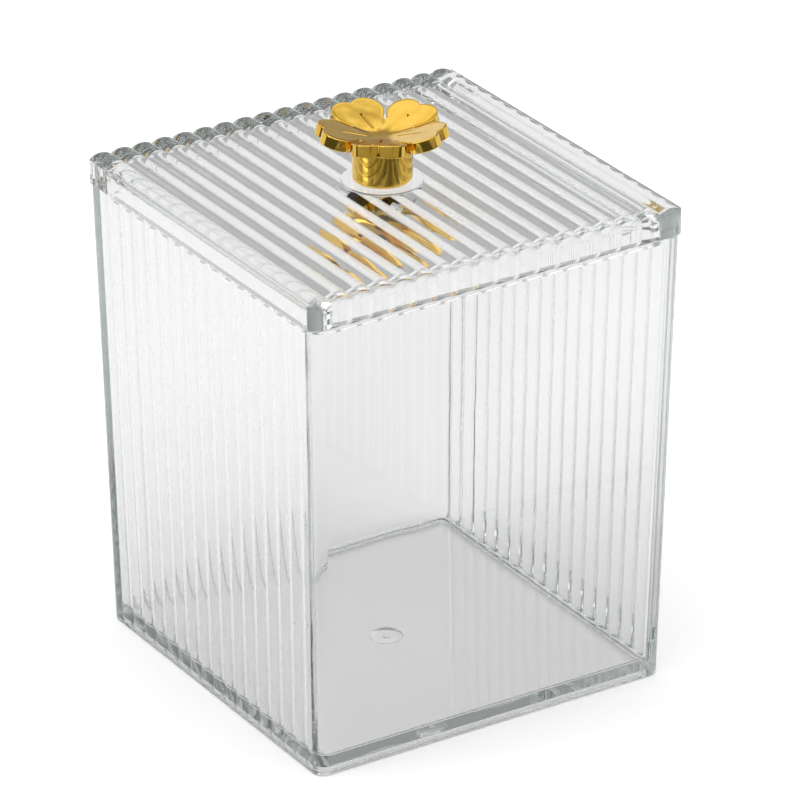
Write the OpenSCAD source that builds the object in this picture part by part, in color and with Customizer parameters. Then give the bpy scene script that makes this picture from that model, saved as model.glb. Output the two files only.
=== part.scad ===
// Cotton storage jar: a clear square jar with reeded sides, a clear reeded lid
// that plugs into its mouth, and a gold flower knob on the lid.
// Millimetres, +Z up, origin at the centre of the underside of the jar.
// The plain front faces -Y. The reeded side walls face -X and +X.

/* [Jar] */
// Height of the jar without its lid
jar_h = 95.5; // [60:0.5:140]
// Outside width of the jar at its rim
jar_top_w = 83.4; // [70:0.1:120]
// Outside width of the jar at its base
jar_base_w = 79.4; // [66:0.1:118]
// Wall thickness, measured at the crest of a flute
wall_t = 2.4; // [1.8:0.1:4]
// Floor thickness
floor_t = 2; // [1.5:0.1:5]
// Height of the plain foot that carries the floor clear of the table
foot_h = 1.1; // [0.5:0.1:3]
// Radius of the outside upright corners
jar_corner_r = 2.6; // [1:0.1:4]
// Radius inside the jar, in its corners and round its floor
jar_inner_r = 1.3; // [0.8:0.1:3]

/* [Flutes] */
// Number of flutes across a reeded face
flute_count = 18; // [10:1:24]
// Height of a crest of the lid over the valleys beside it
flute_depth = 0.7; // [0.3:0.05:0.9]
// Plain strip beside the outer flutes of the lid
flute_margin = 0.6; // [0.3:0.1:2]
// Height of a crest of the jar over the valleys beside it
jar_flute_depth = 0.3; // [0.2:0.05:0.9]
// Amount by which the outer flutes of the jar run past its corners, at the base
jar_flute_past = 0.35; // [0:0.05:1]

/* [Lid] */
// Overhang of the lid's crests past the rim of the jar
lid_overhang = 0.3; // [0:0.1:3]
// Height of the lid's rim, from its seat to the valleys of its top
lid_rim_h = 5; // [4:0.1:9]
// Thickness of the lid's top, measured at a valley
lid_top_t = 2.4; // [1.6:0.1:3.5]
// Radius over which a valley turns down at the front and back edges
lid_edge_r = 1.2; // [0.5:0.1:2]
// Radius of the lid's upright corners
lid_corner_r = 2.5; // [1:0.1:4]
// Depth of the lip that plugs into the mouth of the jar
lip_h = 2.2; // [1:0.1:5]
// Thickness of that lip
lip_t = 1.8; // [1.2:0.1:3]
// Gap between the lip and the wall of the jar
lip_gap = 0.35; // [0.3:0.05:0.8]
// Diameter of the round pad that carries the knob
pad_d = 16.2; // [14:0.1:24]
// Height of the pad over the crests of the flutes
pad_rise = 0.3; // [0.1:0.1:1]

/* [Knob] */
// Height of the knob over the pad
knob_h = 12.3; // [10:0.1:20]
// Diameter of the stem
stem_d = 11.8; // [8:0.1:13]
// Rounding at the foot of the stem
foot_r = 0.8; // [0.3:0.1:1.5]
// Diameter across the petals
flower_d = 24.8; // [22:0.1:34]
// Number of petals
petal_count = 5; // [5:1:6]
// Thickness of a petal at its tip
petal_t = 2.4; // [1.6:0.1:3.5]
// Depth of the flower's cup
cup_depth = 3.3; // [1:0.1:4]
// Thickness of the flower in the middle of its cup
cup_t = 2.2; // [1.6:0.1:3.5]
// Radius of the two round lobes of a petal
lobe_r = 3.3; // [2.6:0.1:3.4]
// Turn of a lobe off the middle of its petal, in degrees
lobe_turn = 13.5; // [12:0.5:15]
// Gap between two petals where they leave the hub, in degrees
petal_gap = 4; // [2:0.5:8]
// Radius of the hub that joins the petals
hub_r = 6.2; // [6:0.1:7]
// Depth of the crease along a petal
crease_depth = 0.4; // [0.2:0.05:0.8]
// Turn of the flower about the stem, in degrees
flower_turn = 90; // [0:1:359]
// Diameter of the spigot under the stem
spigot_d = 5; // [3:0.1:6]
// Length of the spigot
spigot_h = 2; // [1:0.1:2.4]
// Glue gap round the spigot
glue_gap = 0.1; // [0.05:0.05:0.3]

/* [Gate mark] */
// Diameter of the moulding recess under the floor
gate_d = 6.8; // [4:0.1:10]
// Depth of that recess
gate_depth = 0.5; // [0.2:0.1:1]
// Diameter of the sprue stub left in the recess
sprue_d = 1.8; // [1:0.1:3]

/* [Hidden] */
$fn = 64;

// Thin layer used at the ends of a blended shape
film = 0.01;
// Amount by which a cut runs past the face that it opens
past = 1;

// Jar
inner_top_w = jar_top_w - 2 * wall_t;
inner_base_w = jar_base_w - 2 * wall_t;
floor_z = foot_h + floor_t;
flute_pitch_base = (jar_base_w + 2 * jar_flute_past) / flute_count;
flute_pitch_top = flute_pitch_base * jar_top_w / jar_base_w;
flute_pitch_jar = (flute_pitch_base + flute_pitch_top) / 2;
flute_r_jar = arc_r(flute_pitch_jar, jar_flute_depth);
// A strip of a flute runs this far under its neighbours at the rim
flute_lap = 0.1;
// The crests lie this far under the corners and the foot
crest_ease = 0.02;
// The core lies under the valleys, so that only flutes meet flutes
core_inset = (jar_flute_depth + wall_t) / 2;

// Lid
lid_w = jar_top_w + 2 * lid_overhang;
flute_pitch_lid = (lid_w - 2 * flute_margin) / flute_count;
flute_r_lid = arc_r(flute_pitch_lid, flute_depth);
valley_z = jar_h + lid_rim_h;
crest_z = valley_z + flute_depth;
crest_edge_r = lid_edge_r + flute_depth;
fold_z = crest_z - crest_edge_r;
fold_y = lid_w / 2 - crest_edge_r;
lip_w = inner_top_w - 2 * lip_gap;
pocket_w = lip_w - 2 * lip_t;
pocket_r = max(lid_corner_r - lip_t, jar_inner_r);
pocket_z = valley_z - lid_top_t;
pad_z = crest_z + pad_rise;

// Knob
tip_r = flower_d / 2;
lobe_c = tip_r - lobe_r;
petal_pitch = 360 / petal_count;
// A petal's root lies this far outside the hub, so that its sides cross the hub's edge
root_step = 0.2;
root_r = hub_r + root_step;
root_turn = (petal_pitch - petal_gap) / 2;
cup_z = knob_h - cup_depth;
under_z = cup_z - cup_t;
crease_slope = atan2(cup_depth, tip_r - hub_r / 2);

// Radius of an arc that rises by a depth over a pitch
function arc_r(pitch, depth) = (pitch * pitch / 4 + depth * depth) / (2 * depth);

// Place of flute i across a face, from its middle
function flute_at(i, pitch) = (i - (flute_count - 1) / 2) * pitch;

// Square with round corners
module round_square(w, r) {
    union() {
        square([w, w - 2 * r], center = true);
        square([w - 2 * r, w], center = true);
        for (x = [-1, 1], y = [-1, 1])
            translate([x * (w / 2 - r), y * (w / 2 - r)]) circle(r);
    }
}

// Thin square layer with round corners, for the ends of the jar
module round_layer(w, r, z) {
    translate([0, 0, z]) linear_extrude(film) round_square(w, r, $fn = 32);
}

// Drafted outside of the jar, over its plain faces and its crests
module jar_envelope() {
    hull() {
        round_layer(jar_base_w, jar_corner_r, 0);
        round_layer(jar_top_w, jar_corner_r, jar_h - film);
    }
}

// Drafted space inside the jar, with a round edge at its floor
module jar_cavity() {
    at = inner_base_w / 2 - jar_inner_r;
    hull() {
        for (x = [-at, at], y = [-at, at])
            translate([x, y, floor_z + jar_inner_r]) sphere(jar_inner_r, $fn = 24);
        round_layer(inner_top_w, jar_inner_r, jar_h);
    }
}

// Solid middle of the jar, narrower than its valleys
module jar_core() {
    base = jar_base_w / 2 - core_inset;
    top = jar_top_w / 2 - core_inset;
    rotate([90, 0, 0])
        linear_extrude(jar_top_w, center = true)
            polygon([[-base, 0], [base, 0], [top, jar_h], [-top, jar_h]]);
}

// One upright flute, which leans and fans out with the draft of the wall
module jar_flute(i) {
    lean_x = (jar_top_w - jar_base_w) / 2;
    base_y = flute_at(i, flute_pitch_base);
    lean_y = flute_at(i, flute_pitch_top) - base_y;
    long = norm([lean_x, lean_y, jar_h]) + 2 * past;
    strip = flute_pitch_top + 2 * flute_lap;
    translate([jar_base_w / 2 - crest_ease - flute_r_jar, base_y, 0])
        rotate([-atan2(lean_y, norm([lean_x, jar_h])), atan2(lean_x, jar_h), 0])
            translate([0, 0, -past])
                intersection() {
                    cylinder(h = long, r = flute_r_jar);
                    translate([flute_r_jar - wall_t, -strip / 2, 0]) cube([wall_t + past, strip, long]);
                }
}

// Plain foot below the flutes, cut to the outside of the jar where it is used
module jar_foot() {
    linear_extrude(foot_h) square(jar_top_w, center = true);
}

// Space under the raised floor, inside the foot
module under_floor() {
    translate([0, 0, -past]) linear_extrude(foot_h + past) round_square(inner_base_w, jar_inner_r);
}

// Shallow recess in the underside of the floor, with the stub of the sprue in it
module gate_recess() {
    difference() {
        cylinder(h = foot_h + gate_depth, d = gate_d);
        translate([0, 0, foot_h + gate_depth / 2]) cylinder(h = gate_depth, d = sprue_d);
    }
}

module jar_body() {
    color([0.86, 0.91, 0.91, 0.4])
        difference() {
            intersection() {
                jar_envelope();
                union() {
                    jar_core();
                    jar_foot();
                    for (side = [0, 180], i = [0:flute_count - 1])
                        rotate([0, 0, side]) jar_flute(i);
                }
            }
            jar_cavity();
            under_floor();
            gate_recess();
        }
}

// Section across the lid's flutes, with their arcs on a strip of the fold's radius
module flute_section() {
    union() {
        translate([-lid_w / 2, 0]) square([lid_w, lid_edge_r]);
        for (i = [0:flute_count - 1])
            translate([flute_at(i, flute_pitch_lid), 0])
                intersection() {
                    translate([0, crest_edge_r - flute_r_lid]) circle(flute_r_lid);
                    translate([-flute_pitch_lid / 2, 0]) square([flute_pitch_lid, crest_edge_r + past]);
                }
    }
}

// Flutes along the top of the lid
module top_flutes() {
    translate([0, fold_y, fold_z])
        rotate([90, 0, 0]) linear_extrude(2 * fold_y) flute_section();
}

// Flutes down the front rim of the lid
module rim_flutes() {
    translate([0, -fold_y, jar_h])
        mirror([0, 1, 0]) linear_extrude(fold_z - jar_h) flute_section();
}

// Quarter turn that carries the flutes from the top over the front edge
module fold_flutes() {
    translate([0, -fold_y, fold_z])
        rotate([180, 0, 0]) rotate([0, 90, 0])
            rotate_extrude(angle = 90) rotate(-90) flute_section();
}

module lid_shell() {
    intersection() {
        union() {
            translate([-lid_w / 2, -fold_y, jar_h]) cube([lid_w, 2 * fold_y, fold_z - jar_h]);
            top_flutes();
            for (side = [0, 180]) rotate([0, 0, side]) {
                rim_flutes();
                fold_flutes();
            }
        }
        translate([0, 0, jar_h]) linear_extrude(crest_z - jar_h + past) round_square(lid_w, lid_corner_r);
    }
}

module lid() {
    color([0.86, 0.91, 0.91, 0.4])
        difference() {
            union() {
                lid_shell();
                translate([0, 0, jar_h - lip_h]) linear_extrude(2 * lip_h) round_square(lip_w, lid_corner_r);
                translate([0, 0, pocket_z]) cylinder(h = pad_z - pocket_z, d = pad_d);
            }
            translate([0, 0, jar_h - lip_h - past])
                linear_extrude(pocket_z - jar_h + lip_h + past) round_square(pocket_w, pocket_r);
            translate([0, 0, pad_z - spigot_h - glue_gap])
                cylinder(h = spigot_h + glue_gap + past, d = spigot_d + 2 * glue_gap);
        }
}

// Outline of the flower: each petal has two round lobes with a notch between
module flower_outline() {
    circle(hub_r);
    for (k = [0:petal_count - 1])
        rotate(k * petal_pitch) {
            polygon([
                [0, 0],
                root_r * [cos(root_turn), -sin(root_turn)],
                lobe_c * [cos(lobe_turn), -sin(lobe_turn)],
                lobe_c * [cos(lobe_turn), sin(lobe_turn)],
                root_r * [cos(root_turn), sin(root_turn)]
            ]);
            for (side = [-1, 1])
                rotate(side * lobe_turn) translate([lobe_c, 0]) circle(lobe_r);
        }
}

// Cupped disc from which the petals are cut
module flower_cup() {
    rotate_extrude()
        polygon([
            [0, under_z],
            [stem_d / 2, under_z],
            [tip_r + past, knob_h - petal_t],
            [tip_r + past, knob_h],
            [hub_r / 2, cup_z],
            [0, cup_z]
        ]);
}

// Crease along the middle of a petal
module crease() {
    side = crease_depth * sqrt(2);
    translate([hub_r / 2, 0, cup_z])
        rotate([0, -crease_slope, 0])
            rotate([45, 0, 0])
                translate([0, -side / 2, -side / 2]) cube([lobe_c, side, side]);
}

module stem() {
    rotate_extrude()
        union() {
            square([stem_d / 2 - foot_r, under_z + cup_t / 2]);
            translate([0, foot_r]) square([stem_d / 2, under_z + cup_t / 2 - foot_r]);
            translate([stem_d / 2 - foot_r, foot_r]) circle(foot_r);
        }
}

module knob() {
    color([0.83, 0.62, 0.16])
        translate([0, 0, pad_z]) {
            rotate([0, 0, flower_turn])
                difference() {
                    intersection() {
                        flower_cup();
                        linear_extrude(knob_h + past) flower_outline();
                    }
                    for (k = [0:petal_count - 1]) rotate([0, 0, k * petal_pitch]) crease();
                }
            stem();
            translate([0, 0, -spigot_h]) cylinder(h = spigot_h + foot_r, d = spigot_d);
        }
}

jar_body();
lid();
knob();
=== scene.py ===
"""A clear square storage jar with reeded sides, its reeded lid and the lid's gold flower knob."""

import logging
import math
from collections.abc import Callable, Iterator
from contextlib import contextmanager
from dataclasses import dataclass, field
from enum import Enum

import bmesh
import bpy
from mathutils import Matrix, Vector


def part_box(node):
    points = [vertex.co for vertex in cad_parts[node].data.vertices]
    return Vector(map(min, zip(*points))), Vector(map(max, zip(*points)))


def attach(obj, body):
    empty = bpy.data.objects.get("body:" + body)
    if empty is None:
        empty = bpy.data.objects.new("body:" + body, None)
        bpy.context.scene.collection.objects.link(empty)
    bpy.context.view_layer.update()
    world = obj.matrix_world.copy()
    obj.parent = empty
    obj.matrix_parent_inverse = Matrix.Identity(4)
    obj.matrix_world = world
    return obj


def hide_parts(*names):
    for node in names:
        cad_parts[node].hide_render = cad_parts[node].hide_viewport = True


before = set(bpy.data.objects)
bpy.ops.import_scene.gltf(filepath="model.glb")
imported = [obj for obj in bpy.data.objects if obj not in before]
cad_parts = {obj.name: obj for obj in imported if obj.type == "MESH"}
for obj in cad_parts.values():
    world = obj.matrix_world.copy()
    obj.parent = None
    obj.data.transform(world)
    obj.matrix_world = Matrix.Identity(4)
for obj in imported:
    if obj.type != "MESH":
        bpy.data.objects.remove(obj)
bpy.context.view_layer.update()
LOG = logging.getLogger("storage_jar")

MM = 0.001
AXIS_X = (1.0, 0.0, 0.0)
AXIS_Y = (0.0, 1.0, 0.0)
AXIS_Z = (0.0, 0.0, 1.0)
WELD = 0.002 * MM
LIGHT_BOUNCES = 80
SMOOTH_UNDER = math.radians(32)
NORMAL_WEIGHT = 50
EDGE_STEPS = 4
BEND_STEPS = 8
ROUND_SIDES = 96
PEG_SIDES = 48

HALF_TURN = 180.0
COLOUR_MIX_INPUTS = (0, 6, 7)
COLOUR_MIX_OUTPUT = 2

Point = tuple[float, float, float]
Colour = tuple[float, float, float]
Test = Callable[[Vector], bool]


class Body(Enum):
    """The bodies of the frame that pieces ride on."""

    JAR = "jar"
    LID = "lid"


class Slot(Enum):
    """The record's material slots."""

    CLEAR = "clear_plastic"
    GOLD = "gold_plating"


def deselect() -> None:
    """Deselects every object."""
    bpy.ops.object.select_all(action="DESELECT")


def make_active(piece: bpy.types.Object) -> None:
    """Selects one object alone and makes it the active one.

    Args:
        piece: The object to work on.
    """
    deselect()
    piece.select_set(True)
    bpy.context.view_layer.objects.active = piece


@contextmanager
def editing(piece: bpy.types.Object) -> Iterator[None]:
    """Opens a piece in edit mode for the length of a with block.

    Args:
        piece: The object to edit.

    Yields:
        Nothing; the operators act on the piece.
    """
    make_active(piece)
    bpy.ops.object.mode_set(mode="EDIT")
    yield
    bpy.ops.object.mode_set(mode="OBJECT")


def pick_open_edges(piece: bpy.types.Object, test: Test) -> None:
    """Selects the open edges whose two ends pass a test, in edit mode.

    Args:
        piece: The object in edit mode.
        test: Says of a vertex's place whether its edges are picked.
    """
    bpy.ops.mesh.select_mode(type="EDGE")
    bpy.ops.mesh.select_all(action="DESELECT")
    mesh = bmesh.from_edit_mesh(piece.data)
    for edge in mesh.edges:
        if len(edge.link_faces) < 2 and all(test(v.co) for v in edge.verts):
            edge.select = True
    bmesh.update_edit_mesh(piece.data)


def shape(piece: bpy.types.Object, move: Callable[[Vector], Vector]) -> None:
    """Moves every vertex of a piece to a new place.

    Args:
        piece: The object, outside edit mode.
        move: Gives the new place of a vertex from its old one.
    """
    for vertex in piece.data.vertices:
        vertex.co = move(vertex.co)
    piece.data.update()


def apply_modifiers(piece: bpy.types.Object) -> None:
    """Applies every modifier of a piece, in order.

    Args:
        piece: The object.
    """
    make_active(piece)
    for modifier in list(piece.modifiers):
        bpy.ops.object.modifier_apply(modifier=modifier.name)


def mirror(piece: bpy.types.Object, x: bool, y: bool) -> None:
    """Mirrors a piece about the planes through the origin and welds the seams.

    Args:
        piece: The object.
        x: Whether to mirror about the plane X = 0.
        y: Whether to mirror about the plane Y = 0.
    """
    modifier = piece.modifiers.new("halves", "MIRROR")
    modifier.use_axis = (x, y, False)
    modifier.merge_threshold = WELD
    apply_modifiers(piece)


def join(pieces: list[bpy.types.Object]) -> bpy.types.Object:
    """Joins objects into the first of them.

    Args:
        pieces: The objects.

    Returns:
        The first object, which then holds every mesh.
    """
    deselect()
    for piece in pieces:
        piece.select_set(True)
    bpy.context.view_layer.objects.active = pieces[0]
    bpy.ops.object.join()
    return pieces[0]


def fill_flat(piece: bpy.types.Object, height: float) -> None:
    """Fills the flat area between the open rings that lie at one height.

    Args:
        piece: The object.
        height: The rings' height.
    """
    with editing(piece):
        pick_open_edges(piece, lambda at: abs(at.z - height) < WELD)
        bpy.ops.mesh.fill(use_beauty=True)


def close_up(piece: bpy.types.Object) -> None:
    """Welds a piece's seams, turns its faces outwards and smooths all but its sharp edges.

    Args:
        piece: The object.
    """
    with editing(piece):
        bpy.ops.mesh.select_mode(type="VERT")
        bpy.ops.mesh.select_all(action="SELECT")
        bpy.ops.mesh.remove_doubles(threshold=WELD)
        bpy.ops.mesh.dissolve_degenerate(threshold=WELD / 2)
        bpy.ops.mesh.normals_make_consistent(inside=False)
    make_active(piece)
    bpy.ops.object.shade_smooth_by_angle(angle=SMOOTH_UNDER)
    weighted = piece.modifiers.new("normals", "WEIGHTED_NORMAL")
    weighted.mode = "FACE_AREA"
    weighted.weight = NORMAL_WEIGHT
    weighted.keep_sharp = True
    apply_modifiers(piece)


def cut_or_join(piece: bpy.types.Object, tool: bpy.types.Object, operation: str) -> None:
    """Joins a tool to a piece, or cuts it from the piece, and deletes the tool.

    Args:
        piece: The object that stays.
        tool: The closed object that is used up.
        operation: UNION or DIFFERENCE.
    """
    modifier = piece.modifiers.new("with_tool", "BOOLEAN")
    modifier.operation = operation
    modifier.solver = "EXACT"
    modifier.object = tool
    apply_modifiers(piece)
    bpy.data.objects.remove(tool, do_unlink=True)


def round_corner(radius: float, steps: int) -> list[tuple[float, float]]:
    """Points of a quarter circle that starts flat and ends upright.

    Args:
        radius: The rounding's radius.
        steps: The number of stretches.

    Returns:
        Pairs of how far the point has yet to go out and how far it has come up.
    """
    turns = [math.pi / 2 * k / steps for k in range(steps + 1)]
    return [(radius * (1 - math.sin(t)), radius * (1 - math.cos(t))) for t in turns]


class Pen:
    """Draws a chain of edges in edit mode, by extruding and spinning one vertex."""

    def __init__(self, name: str, start: Point) -> None:
        """Starts a new object with one vertex.

        Args:
            name: The object's name.
            start: The vertex's place.
        """
        deselect()
        bpy.ops.mesh.primitive_circle_add(vertices=3, radius=MM, location=start)
        self.piece = bpy.context.active_object
        self.piece.name = name
        bpy.ops.object.transform_apply(location=True, rotation=True, scale=True)
        bpy.ops.object.mode_set(mode="EDIT")
        bpy.ops.mesh.select_mode(type="VERT")
        bpy.ops.mesh.select_all(action="SELECT")
        bpy.ops.mesh.merge(type="CENTER")
        self.at = Vector(start)

    def line(self, end: Point) -> None:
        """Draws a straight stretch to a point."""
        step = Vector(end) - self.at
        bpy.ops.mesh.extrude_region_move(TRANSFORM_OT_translate={"value": step})
        self.at = Vector(end)

    def arc(self, centre: Point, degrees: float, steps: int, axis: Point = AXIS_Z) -> None:
        """Draws an arc, anticlockwise about its axis.

        Args:
            centre: The arc's centre.
            degrees: The turn.
            steps: The number of stretches.
            axis: The axis of the turn.
        """
        turn = math.radians(degrees)
        bpy.ops.mesh.spin(steps=steps, angle=-turn, center=centre, axis=axis)
        self.at = Vector(centre) + Matrix.Rotation(turn, 3, axis) @ (self.at - Vector(centre))

    def lift(self) -> bpy.types.Object:
        """Leaves edit mode and gives the object."""
        bpy.ops.object.mode_set(mode="OBJECT")
        return self.piece


def sweep(piece: bpy.types.Object, profile: list[tuple[float, float]]) -> None:
    """Extrudes a ring of edges along a profile, drawing it in or out about the Z axis.

    Args:
        piece: The object that holds the ring, at the profile's first height.
        profile: Pairs of height and half width. The ring has the first half width.
    """
    with editing(piece):
        bpy.ops.mesh.select_mode(type="VERT")
        bpy.ops.mesh.select_all(action="SELECT")
        for (low, was), (high, now) in zip(profile, profile[1:]):
            bpy.ops.mesh.extrude_region_move(TRANSFORM_OT_translate={"value": (0, 0, high - low)})
            factor = now / was
            bpy.ops.transform.resize(value=(factor, factor, 1), center_override=(0, 0, high))


def round_square_ring(name: str, half: float, radius: float, height: float) -> bpy.types.Object:
    """Draws a square ring with round corners.

    Args:
        name: The object's name.
        half: Half of the square's width.
        radius: The corners' radius.
        height: The ring's height.

    Returns:
        The object.
    """
    pen = Pen(name, (0, -half, height))
    pen.line((half - radius, -half, height))
    pen.arc((half - radius, radius - half, height), 90, 10)
    pen.line((half, 0, height))
    piece = pen.lift()
    mirror(piece, x=True, y=True)
    return piece


def round_square_reach(half: float, radius: float, across: float) -> float:
    """Finds how far out the side of a round-cornered square lies.

    Args:
        half: Half of the square's width.
        radius: The corners' radius.
        across: The place along the side, from its middle.

    Returns:
        The distance from the square's middle line.
    """
    past = max(abs(across) - (half - radius), 0)
    return half - radius + math.sqrt(max(radius**2 - past**2, 0))


def turned(name: str, profile: list[tuple[float, float]], sides: int) -> bpy.types.Object:
    """Turns a closed solid about the Z axis.

    Args:
        name: The object's name.
        profile: Pairs of height and radius, from one flat end to the other.
        sides: The number of sides.

    Returns:
        The object.
    """
    deselect()
    height, radius = profile[0]
    bpy.ops.mesh.primitive_circle_add(
        vertices=sides, radius=radius, fill_type="NOTHING", location=(0, 0, height)
    )
    piece = bpy.context.active_object
    piece.name = name
    bpy.ops.object.transform_apply(location=True, rotation=True, scale=True)
    sweep(piece, profile)
    for end in (profile[0][0], profile[-1][0]):
        with editing(piece):
            pick_open_edges(piece, lambda at: abs(at.z - end) < WELD)
            bpy.ops.mesh.edge_face_add()
    return piece


@dataclass(frozen=True)
class Reeding:
    """Round flutes side by side across a face."""

    width: float
    count: int = 18
    depth: float = 0.7 * MM
    margin: float = 0.6 * MM
    steps: int = 14

    @property
    def pitch(self) -> float:
        """Distance from flute to flute."""
        return (self.width - 2 * self.margin) / self.count

    @property
    def radius(self) -> float:
        """Radius of a flute."""
        return (self.pitch**2 / 4 + self.depth**2) / (2 * self.depth)

    @property
    def half_turn(self) -> float:
        """Half of a flute's turn, in degrees."""
        return math.degrees(math.asin(self.pitch / 2 / self.radius))

    def centre(self, index: int) -> float:
        """Place of a flute across the face, from its middle.

        Args:
            index: The flute's number.

        Returns:
            The distance.
        """
        return (index - (self.count - 1) / 2) * self.pitch


def circles_meet(centre: Vector, radius: float, other: Vector, other_radius: float) -> Vector:
    """Finds where two circles in the XY plane meet, on the left of the line to the second.

    Args:
        centre: The first circle's centre.
        radius: Its radius.
        other: The second circle's centre.
        other_radius: Its radius.

    Returns:
        The meeting point.
    """
    gap = (other - centre).length
    along = (gap**2 + radius**2 - other_radius**2) / (2 * gap)
    aside = math.sqrt(radius**2 - along**2)
    way = (other - centre) / gap
    return centre + way * along + Vector((-way.y, way.x)) * aside


class Net:
    """Adds nodes to a node tree and wires them."""

    def __init__(self, tree: bpy.types.NodeTree) -> None:
        """Takes the tree to work on."""
        self.tree = tree

    def node(self, kind: str) -> bpy.types.Node:
        """Adds a node of a kind."""
        return self.tree.nodes.new(kind)

    def feed(self, socket: bpy.types.NodeSocket, value: float | bpy.types.NodeSocket) -> None:
        """Gives a socket a number, or links it to an output.

        Args:
            socket: The input to feed.
            value: The number or the output.
        """
        if isinstance(value, bpy.types.NodeSocket):
            self.tree.links.new(value, socket)
        else:
            socket.default_value = value

    def math(self, operation: str, *values: float | bpy.types.NodeSocket) -> bpy.types.NodeSocket:
        """Calculates with numbers and outputs.

        Args:
            operation: The Math node's operation.
            values: Its inputs, in order.

        Returns:
            The result.
        """
        node = self.node("ShaderNodeMath")
        node.operation = operation
        for socket, value in zip(node.inputs, values):
            self.feed(socket, value)
        return node.outputs[0]

    def smooth(
        self, value: bpy.types.NodeSocket, low: float, high: float, at_low: float, at_high: float
    ) -> bpy.types.NodeSocket:
        """Passes smoothly from one level to another as a value rises.

        Args:
            value: The value.
            low: Where the change starts.
            high: Where it ends.
            at_low: The level before it.
            at_high: The level after it.

        Returns:
            The level.
        """
        node = self.node("ShaderNodeMapRange")
        node.interpolation_type = "SMOOTHSTEP"
        for name, number in (
            ("From Min", low),
            ("From Max", high),
            ("To Min", at_low),
            ("To Max", at_high),
        ):
            node.inputs[name].default_value = number
        self.feed(node.inputs["Value"], value)
        return node.outputs[0]

    def noise(self, scale: float, detail: float) -> bpy.types.NodeSocket:
        """Makes soft noise on the piece.

        Args:
            scale: Cells per metre.
            detail: Octaves of finer noise.

        Returns:
            The noise, about 0.5.
        """
        place = self.node("ShaderNodeTexCoord")
        node = self.node("ShaderNodeTexNoise")
        node.inputs["Scale"].default_value = scale
        node.inputs["Detail"].default_value = detail
        self.feed(node.inputs["Vector"], place.outputs["Object"])
        return node.outputs["Fac"]

    def mix(
        self, share: bpy.types.NodeSocket, first: Colour, second: Colour
    ) -> bpy.types.NodeSocket:
        """Mixes two colours.

        Args:
            share: The share of the second.
            first: The colour at a share of 0.
            second: The colour at a share of 1.

        Returns:
            The colour.
        """
        node = self.node("ShaderNodeMix")
        node.data_type = "RGBA"
        share_in, first_in, second_in = (node.inputs[index] for index in COLOUR_MIX_INPUTS)
        self.feed(share_in, share)
        self.feed(first_in, (*first, 1))
        self.feed(second_in, (*second, 1))
        return node.outputs[COLOUR_MIX_OUTPUT]


def moulding_group() -> bpy.types.NodeTree:
    """Makes the shared effect of a moulded face that isn't quite flat.

    Returns:
        The node group, which gives a normal.
    """
    group = bpy.data.node_groups.new("moulding_waves", "ShaderNodeTree")
    for name in ("Scale", "Height"):
        group.interface.new_socket(name, in_out="INPUT", socket_type="NodeSocketFloat")
    group.interface.new_socket("Normal", in_out="OUTPUT", socket_type="NodeSocketVector")
    net = Net(group)
    given = net.node("NodeGroupInput")
    place = net.node("ShaderNodeTexCoord")
    waves = net.node("ShaderNodeTexNoise")
    waves.inputs["Detail"].default_value = 1.0
    net.feed(waves.inputs["Vector"], place.outputs["Object"])
    net.feed(waves.inputs["Scale"], given.outputs["Scale"])
    bump = net.node("ShaderNodeBump")
    net.feed(bump.inputs["Height"], waves.outputs["Fac"])
    net.feed(bump.inputs["Distance"], given.outputs["Height"])
    result = net.node("NodeGroupOutput")
    net.feed(result.inputs["Normal"], bump.outputs["Normal"])
    return group


def new_material(name: str) -> tuple[bpy.types.Material, Net, bpy.types.Node]:
    """Starts a material.

    Args:
        name: Its name.

    Returns:
        The material, its net and its shader.
    """
    material = bpy.data.materials.new(name)
    material.use_nodes = True
    return material, Net(material.node_tree), material.node_tree.nodes["Principled BSDF"]


def add_waves(
    net: Net, shader: bpy.types.Node, group: bpy.types.NodeTree, scale: float, height: float
) -> None:
    """Lets a moulding's waves bend a shader's normal.

    Args:
        net: The material's net.
        shader: Its shader.
        group: The shared effect.
        scale: Waves per metre.
        height: Their height.
    """
    waves = net.node("ShaderNodeGroup")
    waves.node_tree = group
    waves.inputs["Scale"].default_value = scale
    waves.inputs["Height"].default_value = height
    net.feed(shader.inputs["Normal"], waves.outputs["Normal"])


@dataclass(frozen=True)
class ClearPlastic:
    """Clear moulded plastic with a faint cool tint that deepens along its edges."""

    name: str
    ior: float = 1.49
    tint: Colour = (0.50, 0.57, 0.54)
    density: float = 12.0
    wave_scale: float = 60.0
    wave_height: float = 0.06 * MM
    mark_scale: float = 90.0
    mark_detail: float = 2.0
    mark_from: float = 0.62
    mark_full: float = 0.8
    mark_roughness: float = 0.02

    def build(self, waves: bpy.types.NodeTree) -> bpy.types.Material:
        """Makes the material.

        Args:
            waves: The shared effect of a moulded face.

        Returns:
            The material.
        """
        material, net, shader = new_material(self.name)
        shader.inputs["Base Color"].default_value = (1, 1, 1, 1)
        shader.inputs["IOR"].default_value = self.ior
        shader.inputs["Transmission Weight"].default_value = 1.0
        marks = net.noise(self.mark_scale, self.mark_detail)
        handled = net.smooth(marks, self.mark_from, self.mark_full, 0.0, self.mark_roughness)
        net.feed(shader.inputs["Roughness"], handled)
        add_waves(net, shader, waves, self.wave_scale, self.wave_height)
        inside = net.node("ShaderNodeVolumeAbsorption")
        inside.inputs["Color"].default_value = (*self.tint, 1)
        inside.inputs["Density"].default_value = self.density
        output = material.node_tree.nodes["Material Output"]
        net.feed(output.inputs["Volume"], inside.outputs["Volume"])
        return material


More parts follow.
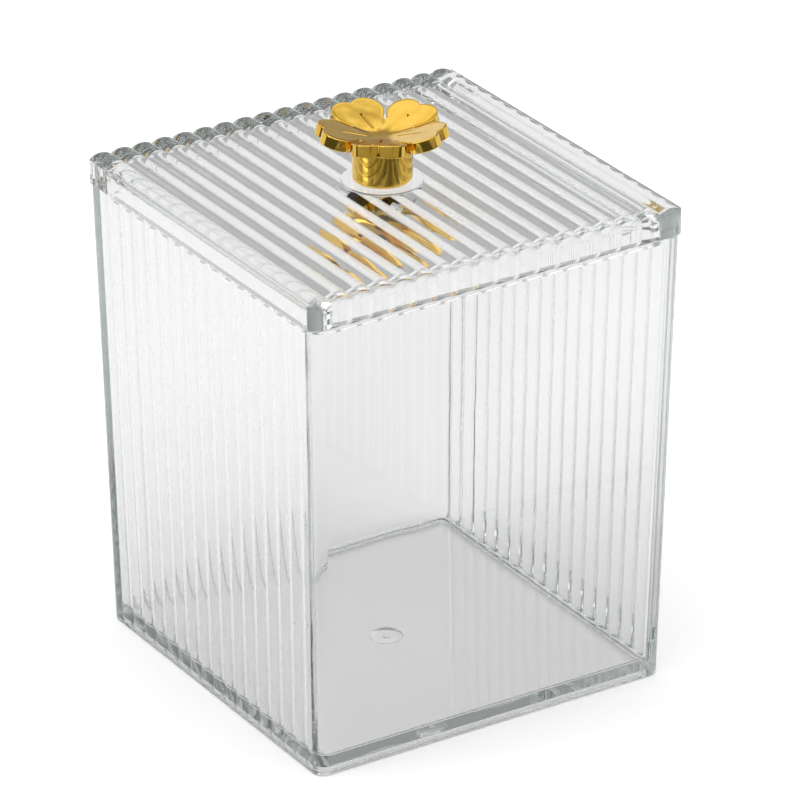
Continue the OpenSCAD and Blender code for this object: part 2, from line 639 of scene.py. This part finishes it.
@dataclass(frozen=True)
class GoldPlating:
    """Mirror-bright gold plating."""

    name: str
    colour: Colour = (0.80, 0.51, 0.085)
    worn: Colour = (0.74, 0.44, 0.06)
    tone_scale: float = 300.0
    tone_range: tuple[float, float] = (0.4, 0.7)
    gloss_scale: float = 500.0
    gloss_range: tuple[float, float] = (0.35, 0.75)
    detail: float = 3.0
    rough_least: float = 0.03
    rough_most: float = 0.09
    wave_scale: float = 240.0
    wave_height: float = 0.05 * MM

    def build(self, waves: bpy.types.NodeTree) -> bpy.types.Material:
        """Makes the material.

        Args:
            waves: The shared effect of a moulded face.

        Returns:
            The material.
        """
        material, net, shader = new_material(self.name)
        shader.inputs["Metallic"].default_value = 1.0
        tone = net.smooth(net.noise(self.tone_scale, self.detail), *self.tone_range, 0.0, 1.0)
        net.feed(shader.inputs["Base Color"], net.mix(tone, self.colour, self.worn))
        gloss = net.noise(self.gloss_scale, self.detail)
        rough = net.smooth(gloss, *self.gloss_range, self.rough_least, self.rough_most)
        net.feed(shader.inputs["Roughness"], rough)
        add_waves(net, shader, waves, self.wave_scale, self.wave_height)
        return material


def finish(
    piece: bpy.types.Object, body: Body, nodes: list[str], material: bpy.types.Material
) -> None:
    """Dresses a finished piece and ties it to the frame.

    Args:
        piece: The object.
        body: The body it rides on.
        nodes: The CAD nodes that it stands for.
        material: Its material.
    """
    piece.data.materials.clear()
    piece.data.materials.append(material)
    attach(piece, body.value)
    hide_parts(*nodes)
    LOG.info("%s: %d faces", piece.name, len(piece.data.polygons))


@dataclass
class JarBody:
    """The jar: a drafted square shell with reeded sides, on a plain foot that carries its floor."""

    height: float = field(default_factory=lambda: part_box("jar_body")[1].z)
    top: float = field(default_factory=lambda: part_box("jar_body")[1].y)
    base: float = 39.7 * MM
    wall: float = 2.4 * MM
    foot: float = 1.1 * MM
    floor: float = 3.1 * MM
    corner: float = 2.6 * MM
    inner_corner: float = 1.3 * MM
    reed_depth: float = 0.3 * MM
    reed_past: float = 0.35 * MM
    crest_ease: float = 0.02 * MM
    ledge: float = 0.05 * MM
    rim_round: float = 0.3 * MM
    foot_round: float = 0.35 * MM
    seat_gap: float = 0.03 * MM
    gate_radius: float = 3.4 * MM
    gate_depth: float = 0.5 * MM
    gate_round: float = 0.17 * MM
    gate_sides: int = 64
    sprue_radius: float = 0.9 * MM

    @property
    def rim(self) -> float:
        """Height of the rim, just clear of the lid's seat."""
        return self.height - self.seat_gap

    def half_width(self, height: float) -> float:
        """Half width of the outside at a height."""
        return self.base + (self.top - self.base) * height / self.height

    def foot_half_width(self, height: float) -> float:
        """Half width of the rounded foot at a height."""
        rise = max(self.foot_round - height, 0)
        inset = self.foot_round - math.sqrt(self.foot_round**2 - rise**2)
        return self.half_width(height) - inset

    def outline(self) -> bpy.types.Object:
        """Draws the reeded outline at the base.

        Returns:
            The ring.
        """
        reeds = Reeding(2 * self.base, depth=self.reed_depth, margin=-self.reed_past)
        corner = Vector((self.base - self.corner, self.corner - self.base))
        flute = Vector((self.base - self.crest_ease - reeds.radius, reeds.centre(0)))
        meet = circles_meet(flute, reeds.radius, corner, self.corner)
        if meet.y > corner.y:
            meet = circles_meet(corner, self.corner, flute, reeds.radius)
        turn = math.degrees(math.atan2(meet.y - corner.y, meet.x - corner.x)) + 90
        start = math.degrees(math.atan2(meet.y - flute.y, meet.x - flute.x))
        pen = Pen("jar", (0, -self.base, 0))
        pen.line((corner.x, -self.base, 0))
        pen.arc((*corner, 0), turn, BEND_STEPS)
        pen.arc((*flute, 0), reeds.half_turn - start, reeds.steps)
        for index in range(1, reeds.count // 2):
            pen.arc((flute.x, reeds.centre(index), 0), 2 * reeds.half_turn, reeds.steps)
        ring = pen.lift()
        mirror(ring, x=True, y=True)
        return ring

    def plain_foot(self, at: Vector) -> Vector:
        """Moves a point of the foot from the reeded outline to the plain one.

        Args:
            at: The point.

        Returns:
            Its new place, which is the old one above the foot and on the front and back walls.
        """
        scale = self.foot_half_width(at.z) / self.base
        across = abs(at.y) / scale
        front = self.base - self.corner / 3
        if at.z > self.foot + WELD or across > front:
            return at
        reach = scale * round_square_reach(self.base, self.corner, across)
        return Vector((math.copysign(reach, at.x), at.y, at.z))

    def outside(self) -> bpy.types.Object:
        """Raises the outside from its outline.

        Returns:
            The object.
        """
        ring = self.outline()
        with editing(ring):
            bpy.ops.mesh.select_all(action="SELECT")
            shrink = self.foot_half_width(0) / self.base
            bpy.ops.transform.resize(value=(shrink, shrink, 1), center_override=(0, 0, 0))
        profile = [
            (up, self.foot_half_width(up)) for _, up in round_corner(self.foot_round, EDGE_STEPS)
        ]
        profile += [(up, self.half_width(up)) for up in (self.foot, self.foot + self.ledge)]
        profile += [
            (self.rim - up, self.half_width(self.rim - up) - inset)
            for inset, up in round_corner(self.rim_round, EDGE_STEPS)[::-1]
        ]
        sweep(ring, profile)
        shape(ring, self.plain_foot)
        return ring

    def inside(self) -> bpy.types.Object:
        """Sinks the inside from a ring at the rim.

        Returns:
            The object.
        """
        half = self.half_width(self.rim) - self.wall
        low = self.base - self.wall
        edge = round_corner(self.rim_round, EDGE_STEPS)
        well = round_corner(self.inner_corner, BEND_STEPS)
        profile = [(self.rim - up, half + inset) for inset, up in edge]
        profile += [(self.floor + up, low - inset) for inset, up in well[::-1]]
        ring = round_square_ring("jar_inside", profile[0][1], self.inner_corner, profile[0][0])
        sweep(ring, profile)
        fill_flat(ring, self.floor)
        return ring

    def underside(self) -> bpy.types.Object:
        """Sinks the space inside the foot, under the floor.

        Returns:
            The object, open at the table and at the floor.
        """
        low = self.base - self.wall
        edge = round_corner(self.rim_round, EDGE_STEPS)
        profile = [(up, low + inset) for inset, up in edge]
        profile += [(self.foot, low)]
        ring = round_square_ring("underside", profile[0][1], self.inner_corner, 0)
        sweep(ring, profile)
        return ring

    def gate(self) -> bpy.types.Object:
        """Makes the moulding recess under the floor, with its sprue stub.

        Returns:
            The object.
        """
        ceiling = self.foot + self.gate_depth
        stub = ceiling - self.gate_depth / 2
        profile = [(self.foot, self.gate_radius)]
        profile += [
            (ceiling - up, self.gate_radius - inset)
            for inset, up in round_corner(self.gate_round, EDGE_STEPS)[::-1]
        ]
        profile += [(ceiling, self.sprue_radius), (stub, self.sprue_radius)]
        deselect()
        bpy.ops.mesh.primitive_circle_add(
            vertices=self.gate_sides, radius=self.gate_radius, location=(0, 0, self.foot)
        )
        ring = bpy.context.active_object
        bpy.ops.object.transform_apply(location=True, rotation=True, scale=True)
        sweep(ring, profile)
        fill_flat(ring, stub)
        return ring

    def build(self, material: bpy.types.Material) -> bpy.types.Object:
        """Makes the whole jar.

        Args:
            material: Its finish.

        Returns:
            The piece.
        """
        jar = join([self.outside(), self.inside(), self.underside(), self.gate()])
        for height in (self.rim, 0, self.foot):
            fill_flat(jar, height)
        close_up(jar)
        finish(jar, Body.JAR, ["jar_body"], material)
        return jar


@dataclass
class Lid:
    """The lid: reeds that run over the top and down the front and back rims, a lip and a pad."""

    seat: float = field(default_factory=lambda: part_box("jar_body")[1].z)
    half: float = field(default_factory=lambda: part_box("lid")[1].x)
    pad_top: float = field(default_factory=lambda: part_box("lid")[1].z)
    lip_bottom: float = field(default_factory=lambda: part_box("lid")[0].z)
    rim_height: float = 5.0 * MM
    fold_radius: float = 1.2 * MM
    corner: float = 2.5 * MM
    side_round: float = 0.25 * MM
    foot_round: float = 0.2 * MM
    lip_half: float = 38.95 * MM
    lip_thick: float = 1.8 * MM
    lip_round: float = 0.3 * MM
    pocket_corner: float = 1.3 * MM
    top_thick: float = 2.4 * MM
    pocket_round: float = 0.6 * MM
    pocket_steps: int = 6
    fold_steps: int = 10
    side_land: float = 0.4 * MM
    pad_radius: float = 8.1 * MM
    pad_round: float = 0.25 * MM
    socket_radius: float = 2.6 * MM
    socket_depth: float = 2.1 * MM

    @property
    def valley(self) -> float:
        """Height of the top's valleys."""
        return self.seat + self.rim_height

    def skin(self) -> bpy.types.Object:
        """Draws the reeds' section, runs it along the top and folds it down the front rim.

        Returns:
            The object, mirrored to its whole width and depth, open below.
        """
        reeds = Reeding(2 * self.half)
        level = self.valley + reeds.depth - reeds.radius
        pen = Pen("lid", (0, 0, self.valley))
        for index in range(reeds.count // 2, reeds.count):
            pen.arc((reeds.centre(index), 0, level), 2 * reeds.half_turn, reeds.steps, AXIS_Y)
        pen.line((self.half - self.side_land, 0, self.valley))
        edge = self.half - self.side_round
        pen.line((edge, 0, self.valley))
        pen.arc((edge, 0, self.valley - self.side_round), 90, EDGE_STEPS, AXIS_Y)
        skin = pen.lift()
        fold_at = self.half - reeds.depth - self.fold_radius
        fold_low = self.valley - self.fold_radius
        foot = self.seat + self.foot_round
        with editing(skin):
            bpy.ops.mesh.select_all(action="SELECT")
            bpy.ops.mesh.extrude_region_move(TRANSFORM_OT_translate={"value": (0, -fold_at, 0)})
            bpy.ops.mesh.spin(
                steps=self.fold_steps,
                angle=-math.pi / 2,
                center=(0, -fold_at, fold_low),
                axis=AXIS_X,
            )
            bpy.ops.mesh.extrude_region_move(
                TRANSFORM_OT_translate={"value": (0, 0, foot - fold_low)}
            )

        def within(at: Vector) -> Vector:
            """Draws a point in to the lid's round corners."""
            reach = round_square_reach(self.half, self.corner, at.x)
            return Vector((at.x, max(at.y, -reach), at.z))

        shape(skin, within)
        mirror(skin, x=True, y=True)
        return skin

    @property
    def ceiling(self) -> float:
        """Height of the pocket's ceiling."""
        return self.valley - self.top_thick

    def close_rims(self, lid: bpy.types.Object) -> None:
        """Closes the plain side rims and rounds the foot of all four.

        Args:
            lid: The skin.
        """
        for side in (-1, 1):
            with editing(lid):
                pick_open_edges(lid, lambda at: side * at.x > self.half - WELD)
                bpy.ops.mesh.edge_face_add()
        foot = self.seat + self.foot_round
        edge = round_corner(self.foot_round, EDGE_STEPS)[::-1]
        with editing(lid):
            pick_open_edges(lid, lambda at: abs(at.z - foot) < WELD)
            for (inset, up), (next_inset, next_up) in zip(edge, edge[1:]):
                bpy.ops.mesh.extrude_region_move(
                    TRANSFORM_OT_translate={"value": (0, 0, next_up - up)}
                )
                factor = (self.half - next_inset) / (self.half - inset)
                bpy.ops.transform.resize(value=(factor, factor, 1), center_override=(0, 0, 0))

    def lip(self) -> bpy.types.Object:
        """Sinks the outside of the lip from the seat.

        Returns:
            The object.
        """
        edge = round_corner(self.lip_round, EDGE_STEPS)
        profile = [(self.seat, self.lip_half)]
        profile += [(self.lip_bottom + up, self.lip_half - inset) for inset, up in edge[::-1]]
        ring = round_square_ring("lip", self.lip_half, self.corner, self.seat)
        sweep(ring, profile)
        return ring

    def pocket(self) -> bpy.types.Object:
        """Raises the pocket inside the lip up to its ceiling.

        Returns:
            The object.
        """
        half = self.lip_half - self.lip_thick
        edge = round_corner(self.lip_round, EDGE_STEPS)
        bend = round_corner(self.pocket_round, self.pocket_steps)
        profile = [(self.lip_bottom + up, half + inset) for inset, up in edge]
        profile += [(self.ceiling - up, half - inset) for inset, up in bend[::-1]]
        ring = round_square_ring(
            "pocket", half + self.lip_round, self.pocket_corner, self.lip_bottom
        )
        sweep(ring, profile)
        return ring

    def add_pad(self, lid: bpy.types.Object) -> None:
        """Adds the round pad under the knob, with the hole for the knob's spigot.

        Args:
            lid: The closed lid.
        """
        edge = round_corner(self.pad_round, EDGE_STEPS)
        profile = [(self.ceiling + self.top_thick / 3, self.pad_radius)]
        profile += [(self.pad_top - up, self.pad_radius - inset) for inset, up in edge[::-1]]
        cut_or_join(lid, turned("pad", profile, ROUND_SIDES), "UNION")
        heights = (self.pad_top - self.socket_depth, self.pad_top + MM)
        profile = [(height, self.socket_radius) for height in heights]
        cut_or_join(lid, turned("socket", profile, PEG_SIDES), "DIFFERENCE")

    def build(self, material: bpy.types.Material) -> bpy.types.Object:
        """Makes the whole lid.

        Args:
            material: Its finish.

        Returns:
            The piece.
        """
        skin = self.skin()
        self.close_rims(skin)
        lid = join([skin, self.lip(), self.pocket()])
        for height in (self.seat, self.lip_bottom, self.ceiling):
            fill_flat(lid, height)
        close_up(lid)
        self.add_pad(lid)
        close_up(lid)
        finish(lid, Body.LID, ["lid"], material)
        return lid


@dataclass
class Knob:
    """The knob: a round stem that carries five notched, creased petals in a shallow cup."""

    foot: float = field(default_factory=lambda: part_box("lid")[1].z)
    crown: float = field(default_factory=lambda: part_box("knob")[1].z)
    spigot_bottom: float = field(default_factory=lambda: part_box("knob")[0].z)
    petals: int = 5
    lobe_radius: float = 3.3 * MM
    lobe_centre: float = 9.1 * MM
    lobe_turn: float = 13.5
    hub_radius: float = 6.2 * MM
    root_radius: float = 6.4 * MM
    root_turn: float = 34.0
    thickness: float = 2.4 * MM
    rim_round: float = 0.35 * MM
    cup_slope: float = 0.30
    cup_floor: float = 2.0 * MM
    stem_radius: float = 5.9 * MM
    stem_round: float = 0.8 * MM
    spigot_radius: float = 2.5 * MM
    crease_depth: float = 0.4 * MM
    crease_start: float = 3.1 * MM
    crease_length: float = 5.0 * MM
    crease_sink: float = 0.0754 * MM
    lobe_steps: int = 26
    hub_shares: tuple[float, ...] = (0.25, 0.5, 0.75, 1.0)
    ring_shares: tuple[float, ...] = (0.86, 0.7, 0.52, 0.34, 0.17)
    ring_centre: float = 7.28 * MM
    bevel_from: float = math.radians(60)

    @property
    def cup_bottom(self) -> float:
        """Height of the middle of the cup."""
        reach = self.lobe_centre * math.cos(math.radians(self.lobe_turn)) + self.lobe_radius
        return self.crown - self.cup_slope * (reach - self.cup_floor)

    def petal(self) -> bpy.types.Object:
        """Draws the outline of the petal that points to +X and fills it with rings.

        Returns:
            The flat petal.
        """
        away = math.radians(self.lobe_turn)
        lobe = Vector((math.cos(away), -math.sin(away))) * self.lobe_centre
        root_turn = math.radians(self.root_turn)
        root = Vector((math.cos(root_turn), -math.sin(root_turn))) * self.root_radius
        share = math.radians(180 / self.petals)
        hub = Vector((math.cos(share), -math.sin(share))) * self.hub_radius
        out = root - lobe
        start = math.atan2(out.y, out.x) + math.acos(self.lobe_radius / out.length)
        notch = math.acos(-lobe.y / self.lobe_radius)
        begin = lobe + Vector((math.cos(start), math.sin(start))) * self.lobe_radius
        pen = Pen("knob", (0, 0, 0))
        for share_out in self.hub_shares:
            pen.line((*(hub * share_out), 0))
        pen.line((*root, 0))
        pen.line((*((root + begin) / 2), 0))
        pen.line((*begin, 0))
        pen.arc((*lobe, 0), math.degrees(math.pi / 2 - notch - start), self.lobe_steps)
        petal = pen.lift()
        mirror(petal, x=False, y=True)
        middle = (self.ring_centre, 0, 0)
        with editing(petal):
            bpy.ops.mesh.select_all(action="SELECT")
            was = 1.0
            for now in self.ring_shares:
                bpy.ops.mesh.extrude_region_move(TRANSFORM_OT_translate={"value": (0, 0, 0)})
                factor = now / was
                bpy.ops.transform.resize(value=(factor, factor, 1), center_override=middle)
                was = now
            bpy.ops.mesh.extrude_region_move(TRANSFORM_OT_translate={"value": (0, 0, 0)})
            bpy.ops.mesh.merge(type="CENTER")
        return petal

    def cupped(self, at: Vector) -> Vector:
        """Lifts a point of the flat petal onto its tilted plane."""
        rise = self.cup_slope * max(at.x - self.cup_floor, 0)
        return Vector((at.x, at.y, self.cup_bottom + rise))

    def repeat_petal(self, petal: bpy.types.Object) -> None:
        """Repeats the petal round the stem, with one that points to +Y.

        Args:
            petal: The petal that points to +X.
        """
        with editing(petal):
            bpy.ops.mesh.select_all(action="SELECT")
            for _ in range(self.petals - 1):
                bpy.ops.mesh.duplicate()
                bpy.ops.transform.rotate(
                    value=-math.tau / self.petals, orient_axis="Z", center_override=(0, 0, 0)
                )
            bpy.ops.mesh.select_all(action="SELECT")
            bpy.ops.transform.rotate(value=-math.pi / 2, orient_axis="Z", center_override=(0, 0, 0))
            bpy.ops.mesh.remove_doubles(threshold=WELD)
            bpy.ops.mesh.normals_make_consistent(inside=False)
        if petal.data.polygons[0].normal.z < 0:
            with editing(petal):
                bpy.ops.mesh.select_all(action="SELECT")
                bpy.ops.mesh.flip_normals()

    def thicken(self, flower: bpy.types.Object) -> None:
        """Gives the flower its thickness and rounds its rim.

        Args:
            flower: The upper face of the flower.
        """
        solid = flower.modifiers.new("thickness", "SOLIDIFY")
        solid.thickness = self.thickness
        solid.offset = -1
        bevel = flower.modifiers.new("rim", "BEVEL")
        bevel.width = self.rim_round
        bevel.segments = EDGE_STEPS
        bevel.limit_method = "ANGLE"
        bevel.angle_limit = self.bevel_from
        apply_modifiers(flower)

    def flower(self) -> bpy.types.Object:
        """Cups the petal, repeats it round the stem and makes it solid.

        Returns:
            The object.
        """
        flower = self.petal()
        shape(flower, self.cupped)
        self.repeat_petal(flower)
        self.thicken(flower)
        self.cut_creases(flower)
        return flower

    def cut_creases(self, flower: bpy.types.Object) -> None:
        """Cuts the crease along the middle of each petal.

        Args:
            flower: The finished flower.
        """
        side = self.crease_depth * math.sqrt(2)
        slope = math.atan(self.cup_slope)
        begin = self.cupped(Vector((self.crease_start, 0, 0)))
        begin.z -= self.crease_sink
        tilt = Matrix.Rotation(-slope, 4, "Y") @ Matrix.Rotation(math.pi / 4, 4, "X")
        ahead = Matrix.Translation((self.crease_length / 2, 0, 0))
        size = Matrix.Diagonal((self.crease_length, side, side, 1))
        for index in range(self.petals):
            turn = Matrix.Rotation(math.pi / 2 + math.tau / self.petals * index, 4, "Z")
            deselect()
            bpy.ops.mesh.primitive_cube_add(size=1)
            tool = bpy.context.active_object
            tool.matrix_world = turn @ Matrix.Translation(begin) @ tilt @ ahead @ size
            cut_or_join(flower, tool, "DIFFERENCE")

    def stem(self) -> bpy.types.Object:
        """Turns the stem, with its round foot.

        Returns:
            The object.
        """
        top = self.crown - self.thickness - self.cup_slope * self.stem_radius
        profile = [
            (self.foot + up, self.stem_radius - inset)
            for inset, up in round_corner(self.stem_round, BEND_STEPS)
        ]
        return turned("stem", profile + [(top, self.stem_radius)], ROUND_SIDES)

    def spigot(self) -> bpy.types.Object:
        """Turns the spigot that sits in the lid's hole.

        Returns:
            The object.
        """
        heights = (self.spigot_bottom, self.foot + self.stem_round)
        return turned("spigot", [(height, self.spigot_radius) for height in heights], PEG_SIDES)

    def build(self, material: bpy.types.Material) -> bpy.types.Object:
        """Makes the whole knob.

        Args:
            material: Its finish.

        Returns:
            The piece.
        """
        knob = join([self.flower(), self.stem(), self.spigot()])
        close_up(knob)
        finish(knob, Body.LID, ["knob"], material)
        return knob


@dataclass(frozen=True)
class Panel:
    """A part of the sky with a level of its own, in degrees from straight behind the object."""

    to_right: float
    up: float
    half_width: float
    half_height: float
    level: float
    edge: float = 6.0


@dataclass
class Studio:
    """A white table in a studio with a large light overhead and darker sides."""

    behind: float = 57.755
    floor_half: float = 15.0
    floor_drop: float = 0.05 * MM
    floor_colour: float = 0.93
    # Painted reflection: the floor's colour in front of the object, seen only by glossy and
    # transmission rays
    painted_reflection_colour: float = 0.10
    painted_reflection_from: float = 75.0 * MM
    painted_reflection_to: float = 120.0 * MM
    seen_lift: float = 0.30
    through_lift: float = 0.05
    # Painted light: the floor glows inside the jar's footprint for transmission and glossy rays,
    # standing in for light through the clear plastic
    painted_light_under_jar: float = 0.34
    painted_light_half: float = 39.0 * MM
    painted_light_edge: float = 4.0 * MM
    low_level: float = 0.45
    high_level: float = 1.45
    low_until: float = 34.0
    high_from: float = 50.0
    panels: tuple[Panel, ...] = (
        Panel(0.0, 60.0, 48.0, 14.0, 0.62),
        Panel(-42.0, 16.0, 40.0, 14.0, 0.95),
        Panel(32.0, 24.0, 26.0, 12.0, 0.2),
        Panel(-112.0, 30.0, 14.0, 24.0, 2.2),
        Panel(150.0, 25.0, 20.0, 18.0, 0.05),
    )

    def floor(self) -> None:
        """Lays the table, white around the object; in front of it the floor is painted dark for
        reflections only, and under the jar it glows with painted light.
        """
        deselect()
        bpy.ops.mesh.primitive_plane_add(
            size=2 * self.floor_half, location=(0, 0, -self.floor_drop)
        )
        floor = bpy.context.active_object
        floor.name = "floor"
        material, net, shader = new_material("pale_floor")
        shader.inputs["Roughness"].default_value = 1.0
        shader.inputs["Specular IOR Level"].default_value = 0.0
        shader.inputs["Emission Color"].default_value = (1, 1, 1, 1)
        place = net.node("ShaderNodeTexCoord")
        split = net.node("ShaderNodeSeparateXYZ")
        net.feed(split.inputs[0], place.outputs["Object"])
        path = net.node("ShaderNodeLightPath")
        seen = path.outputs["Is Camera Ray"]
        through = net.math(
            "MAXIMUM", path.outputs["Is Transmission Ray"], path.outputs["Is Glossy Ray"]
        )
        # Painted reflection: in front of the object the floor turns dark for glossy and
        # transmission rays only, so the plastic and gold reflect a dark band there
        away = math.radians(self.behind)
        in_x = net.math("MULTIPLY", split.outputs["X"], -math.cos(away))
        in_y = net.math("MULTIPLY", split.outputs["Y"], -math.sin(away))
        near = net.smooth(net.math("ADD", in_x, in_y), self.painted_reflection_from, self.painted_reflection_to, 0.0, 1.0)
        dark = net.math("MULTIPLY", near, through)
        light = net.math("SUBTRACT", 1.0, dark)
        drop = self.floor_colour - self.painted_reflection_colour
        colour = net.math("SUBTRACT", self.floor_colour, net.math("MULTIPLY", dark, drop))
        net.feed(shader.inputs["Base Color"], colour)
        across = net.math(
            "MAXIMUM",
            net.math("ABSOLUTE", split.outputs["X"]),
            net.math("ABSOLUTE", split.outputs["Y"]),
        )
        # Painted light under the jar: the floor glows inside its footprint for rays that pass
        # through the plastic
        under = net.smooth(
            across, self.painted_light_half - self.painted_light_edge, self.painted_light_half, self.painted_light_under_jar, 0.0
        )
        seen_through = net.math("ADD", under, self.through_lift)
        lift = net.math(
            "ADD",
            net.math("MULTIPLY", seen, self.seen_lift),
            net.math("MULTIPLY", net.math("MULTIPLY", through, light), seen_through),
        )
        net.feed(shader.inputs["Emission Strength"], lift)
        floor.data.materials.append(material)

    def panel_group(self) -> bpy.types.NodeTree:
        """Makes the shared mask of a soft-edged part of the sky.

        Returns:
            The node group.
        """
        group = bpy.data.node_groups.new("sky_panel", "ShaderNodeTree")
        for name in ("Turn", "Rise", "To Right", "Up", "Half Width", "Half Height", "Edge"):
            group.interface.new_socket(name, in_out="INPUT", socket_type="NodeSocketFloat")
        group.interface.new_socket("Mask", in_out="OUTPUT", socket_type="NodeSocketFloat")
        net = Net(group)
        given = net.node("NodeGroupInput").outputs
        aside = net.math(
            "WRAP", net.math("SUBTRACT", given["Turn"], given["To Right"]), HALF_TURN, -HALF_TURN
        )
        masks = []
        for value, half in (
            (aside, given["Half Width"]),
            (net.math("SUBTRACT", given["Rise"], given["Up"]), given["Half Height"]),
        ):
            inward = net.math("SUBTRACT", half, net.math("ABSOLUTE", value))
            share = net.math("DIVIDE", inward, given["Edge"])
            masks.append(net.smooth(share, 0.0, 1.0, 0.0, 1.0))
        result = net.node("NodeGroupOutput")
        net.feed(result.inputs["Mask"], net.math("MULTIPLY", *masks))
        return group

    def world(self) -> None:
        """Makes the soft sky with its panels."""
        world = bpy.data.worlds.new("studio")
        bpy.context.scene.world = world
        world.use_nodes = True
        net = Net(world.node_tree)
        background = world.node_tree.nodes["Background"]
        background.inputs["Color"].default_value = (1, 1, 1, 1)
        place = net.node("ShaderNodeTexCoord")
        split = net.node("ShaderNodeSeparateXYZ")
        net.feed(split.inputs[0], place.outputs["Generated"])
        x, y, z = split.outputs
        rise = net.math("MULTIPLY", net.math("ARCSINE", z), math.degrees(1))
        heading = net.math("MULTIPLY", net.math("ARCTAN2", y, x), math.degrees(1))
        turn = net.math("SUBTRACT", self.behind, heading)
        level = net.smooth(rise, self.low_until, self.high_from, self.low_level, self.high_level)
        group = self.panel_group()
        for panel in self.panels:
            mask = net.node("ShaderNodeGroup")
            mask.node_tree = group
            for name, value in (
                ("Turn", turn),
                ("Rise", rise),
                ("To Right", panel.to_right),
                ("Up", panel.up),
                ("Half Width", panel.half_width),
                ("Half Height", panel.half_height),
                ("Edge", panel.edge),
            ):
                net.feed(mask.inputs[name], value)
            share = mask.outputs["Mask"]
            rest = net.math("MULTIPLY", level, net.math("SUBTRACT", 1.0, share))
            level = net.math("ADD", rest, net.math("MULTIPLY", share, panel.level))
        net.feed(background.inputs["Strength"], level)

    def build(self) -> None:
        """Makes the floor and the light."""
        self.floor()
        self.world()


@dataclass(frozen=True)
class PhotoCamera:
    """The camera of the photograph, found from the corners of the jar."""

    azimuth: float = -32.245
    elevation: float = 25.815
    roll: float = -0.099
    distance: float = 1200.28 * MM
    focal_px: float = 6120.0
    frame_px: float = 800.0
    aim: Point = (0.0, 0.0, 47.0 * MM)
    aim_right: float = 3.295 * MM
    aim_up: float = 6.396 * MM

    def build(self) -> None:
        """Makes the camera and gives it to the scene."""
        azimuth, elevation = math.radians(self.azimuth), math.radians(self.elevation)
        back = Vector(
            (
                math.sin(azimuth) * math.cos(elevation),
                -math.cos(azimuth) * math.cos(elevation),
                math.sin(elevation),
            )
        )
        level = Vector((math.cos(azimuth), math.sin(azimuth), 0))
        tilt = Matrix.Rotation(math.radians(self.roll), 3, back)
        right = tilt @ level
        up = tilt @ back.cross(level)
        data = bpy.data.cameras.new("photo_camera")
        data.sensor_width = 36.0
        data.lens = self.focal_px / self.frame_px * data.sensor_width
        data.clip_start, data.clip_end = 0.01, 100.0
        camera = bpy.data.objects.new("photo_camera", data)
        bpy.context.scene.collection.objects.link(camera)
        target = Vector(self.aim) + right * self.aim_right + up * self.aim_up
        turn = Matrix((right, up, back)).transposed()
        camera.matrix_world = Matrix.Translation(target + back * self.distance) @ turn.to_4x4()
        bpy.context.scene.camera = camera


def main() -> None:
    """Builds the camera, the studio and the three pieces, and logs their face counts."""
    logging.basicConfig(level=logging.INFO, format="%(name)s: %(message)s")
    scene = bpy.context.scene
    scene.view_settings.view_transform = "Standard"
    scene.cycles.max_bounces = LIGHT_BOUNCES
    scene.cycles.transmission_bounces = LIGHT_BOUNCES
    scene.cycles.glossy_bounces = LIGHT_BOUNCES // 2
    PhotoCamera().build()
    Studio().build()
    waves = moulding_group()
    clear = ClearPlastic("clear_plastic").build(waves)
    gold = GoldPlating("gold_plating").build(waves)
    JarBody().build(clear)
    Lid().build(clear)
    Knob().build(gold)


if __name__ == "__main__":
    main()
